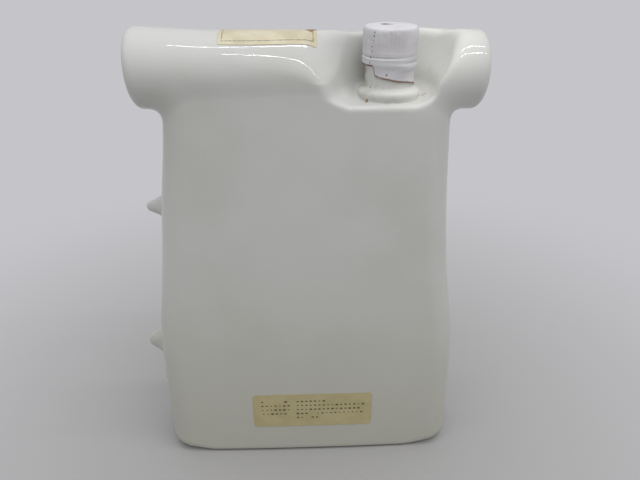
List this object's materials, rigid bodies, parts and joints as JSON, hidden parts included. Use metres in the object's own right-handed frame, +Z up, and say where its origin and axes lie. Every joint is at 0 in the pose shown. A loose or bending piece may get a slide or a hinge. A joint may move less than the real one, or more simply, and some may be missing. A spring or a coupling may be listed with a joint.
{
  "type": "figural liquor decanter",
  "caption": "Garment-shaped glazed ceramic liquor decanter with short sleeves, an off-centre neck in a scooped shoulder, and a cork stopper that pulls out.",
  "frame": {"origin": "middle of the flat foot, on the surface that the decanter stands on", "axes": "+Z up; +Y out of the plain back, where the neck's recess opens; -X towards the neck"},
  "size_m": [0.1668, 0.0437, 0.2257],
  "materials": {
    "glaze": "gloss",
    "cap_plastic": "satin",
    "cork": "matte",
    "shrink_film": "satin",
    "gold_paper": "satin",
    "tan_paper": "satin"
  },
  "bodies": {
    "vessel": {"decanter_body": "glaze", "capsule_skirt": "shrink_film", "shoulder_label": "gold_paper", "back_label": "tan_paper"},
    "stopper": {"stopper_cap": "cap_plastic", "stopper_cork": "cork", "capsule_crown": "shrink_film"}
  },
  "joints": [
    {"name": "stopper_pull", "type": "slide", "parent": "vessel", "child": "stopper", "axis": [0, 0, 1], "range_m": [0, 0.03]}
  ]
}
